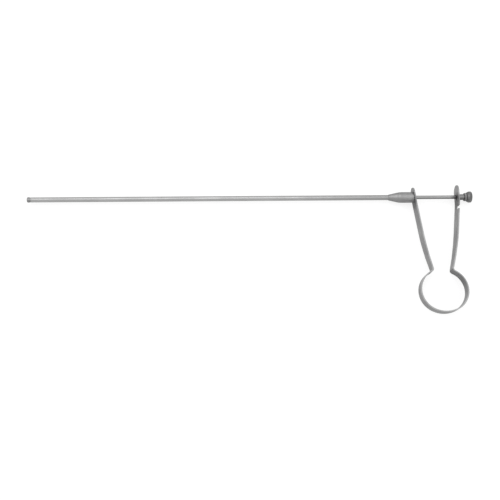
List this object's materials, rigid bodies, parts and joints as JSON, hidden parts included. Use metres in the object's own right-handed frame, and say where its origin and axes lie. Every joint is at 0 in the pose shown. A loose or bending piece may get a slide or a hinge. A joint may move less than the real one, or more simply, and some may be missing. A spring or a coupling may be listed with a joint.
{
  "type": "grasping forceps",
  "caption": "Long straight grasping forceps: a slim shaft with small hooked claws, worked by a spring strip handle and a rod that ends in a thumb knob.",
  "frame": {"origin": "on the shaft's axis, where the tube enters its socket", "axes": "-X along the shaft towards the claws, +Y away from the bow of the handle, +Z across the strip"},
  "size_m": [0.4428, 0.129, 0.014],
  "materials": {
    "tube_steel": "satin stainless steel, fine grain along the tube",
    "socket_steel": "satin turned stainless steel",
    "handle_steel": "matt blasted spring steel with rounded edges",
    "rod_steel": "ground stainless steel",
    "knob_steel": "knurled stainless steel, darker in the grooves",
    "claw_steel": "polished spring steel"
  },
  "bodies": {
    "root": {"sheath_tube": "tube_steel", "shaft_socket": "socket_steel", "front_arm": "handle_steel", "bow_spring": "handle_steel"},
    "rear_arm": {"rear_arm": "handle_steel"},
    "slider": {"thrust_sleeve": "rod_steel"},
    "rod": {"drive_rod": "rod_steel", "claw_collet": "rod_steel", "lock_nut": "knob_steel", "thumb_knob": "knob_steel"},
    "claw_1": {"claw_1": "claw_steel"},
    "claw_2": {"claw_2": "claw_steel"},
    "claw_3": {"claw_3": "claw_steel"}
  },
  "joints": [
    {"name": "handle_squeeze", "type": "hinge", "parent": "root", "child": "rear_arm", "pos_m": [0.04708, -0.0952, 0], "axis": [0, 0, 1], "range_deg": [0, 8], "stiffness_Nm_per_rad": 14, "springref_deg": -1.72, "deforming": ["bow_spring"]},
    {"name": "rod_slide", "type": "slide", "parent": "root", "child": "slider", "axis": [-1, 0, 0], "range_m": [0, 0.0134]},
    {"name": "knob_spin", "type": "hinge", "parent": "slider", "child": "rod", "pos_m": [0, 0, 0], "axis": [1, 0, 0], "continuous": true},
    {"name": "claw_1_open", "type": "hinge", "parent": "rod", "child": "claw_1", "pos_m": [-0.3406, 0, 0.0005], "axis": [0, 1, 0], "range_deg": [0, 14.1]},
    {"name": "claw_2_open", "type": "hinge", "parent": "rod", "child": "claw_2", "pos_m": [-0.3406, -0.00043, -0.00025], "axis": [0, -0.5, 0.866], "range_deg": [0, 14.1]},
    {"name": "claw_3_open", "type": "hinge", "parent": "rod", "child": "claw_3", "pos_m": [-0.3406, 0.00043, -0.00025], "axis": [0, -0.5, -0.866], "range_deg": [0, 14.1]}
  ],
  "couplings": [
    {"joint": "rod_slide", "follows": "handle_squeeze", "m_per_rad": 0.094529},
    {"joint": "claw_1_open", "follows": "handle_squeeze", "ratio": 1.75},
    {"joint": "claw_2_open", "follows": "handle_squeeze", "ratio": 1.75},
    {"joint": "claw_3_open", "follows": "handle_squeeze", "ratio": 1.75}
  ]
}
